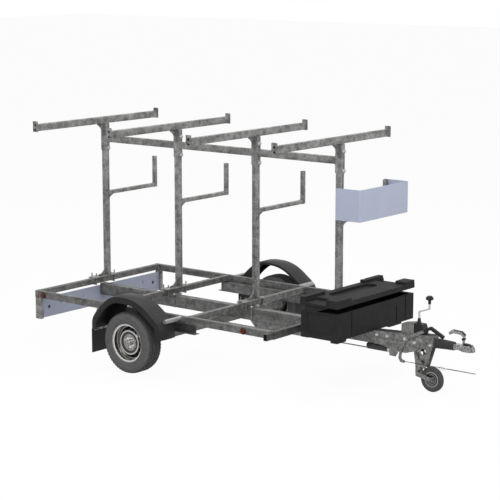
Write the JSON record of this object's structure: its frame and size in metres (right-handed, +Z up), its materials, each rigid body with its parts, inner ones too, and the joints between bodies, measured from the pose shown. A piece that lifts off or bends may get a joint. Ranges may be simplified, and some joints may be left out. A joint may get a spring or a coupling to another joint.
{
  "type": "scaffold transport trailer",
  "caption": "Single-axle braked trailer for scaffold parts: galvanised tube frame, upright posts with cross bars and side arms, front box, overrun coupling and jockey wheel.",
  "frame": {"origin": "middle of the trailer's length and width, at ground height", "axes": "+X forward to the coupling, +Y to the trailer's left side, +Z up"},
  "size_m": [4.585, 2.4508, 2.251],
  "materials": {
    "galvanised": "hot-dip galvanised, spangled and dull",
    "blue_grey": "smooth satin paint",
    "black_plastic": "moulded, fine grain",
    "rubber": "matt",
    "tyre": "matt",
    "silver": "silver lacquer",
    "amber": "clear amber lens",
    "red_lens": "clear red lens",
    "cable": "coated wire rope"
  },
  "bodies": {
    "chassis": {"side_rails": "galvanised", "cross_members": "galvanised", "front_cross": "galvanised", "centre_beam": "galvanised", "drawbar": "galvanised", "axle_rails": "galvanised", "axle_beam": "galvanised", "swing_arms": "galvanised", "posts": "galvanised", "foot_bolts": "galvanised", "head_sleeves": "galvanised", "cross_bars": "galvanised", "end_plates": "galvanised", "top_beam": "galvanised", "side_arms": "galvanised", "arm_uprights": "galvanised", "front_stop": "blue_grey", "light_board": "blue_grey", "board_legs": "galvanised", "rear_lamps": "red_lens", "marker_lamps": "amber", "mudguards": "black_plastic", "mud_flaps": "black_plastic", "flap_strips": "galvanised", "guard_stays": "galvanised", "box_tub": "black_plastic", "overrun_housing": "galvanised", "bellows": "rubber", "coupling_head": "galvanised", "coupling_handle": "galvanised", "brake_lever": "galvanised", "lever_grip": "black_plastic", "spring_cylinder": "black_plastic", "brake_rod": "galvanised", "spindle_box": "galvanised", "spindle_block": "black_plastic", "crank": "galvanised", "crank_knob": "black_plastic", "breakaway_cable": "cable"},
    "wheel_right": {"tyre_right": "tyre", "rim_right": "silver", "drum_right": "galvanised"},
    "wheel_left": {"tyre_left": "tyre", "rim_left": "silver", "drum_left": "galvanised"},
    "jockey_leg": {"jockey_leg": "galvanised", "jockey_fork": "galvanised"},
    "jockey_wheel": {"jockey_tyre": "tyre", "jockey_rim": "silver"},
    "box_lid": {"box_lid": "black_plastic"}
  },
  "joints": [
    {"name": "wheel_right_spin", "type": "hinge", "parent": "chassis", "child": "wheel_right", "pos_m": [-0.7535, -1.13, 0.292], "axis": [0, 1, 0], "continuous": true},
    {"name": "wheel_left_spin", "type": "hinge", "parent": "chassis", "child": "wheel_left", "pos_m": [-0.7535, 1.13, 0.292], "axis": [0, 1, 0], "continuous": true},
    {"name": "jockey_leg_fold", "type": "hinge", "parent": "chassis", "child": "jockey_leg", "pos_m": [1.7915, 0, 0.44005], "axis": [0, 1, 0], "range_deg": [0, 45]},
    {"name": "jockey_wheel_spin", "type": "hinge", "parent": "jockey_leg", "child": "jockey_wheel", "pos_m": [1.84095, 0, 0.115], "axis": [0, 1, 0], "continuous": true},
    {"name": "box_lid_hinge", "type": "hinge", "parent": "chassis", "child": "box_lid", "pos_m": [0.8165, 0, 0.814], "axis": [0, -1, 0], "range_deg": [0, 85]}
  ]
}
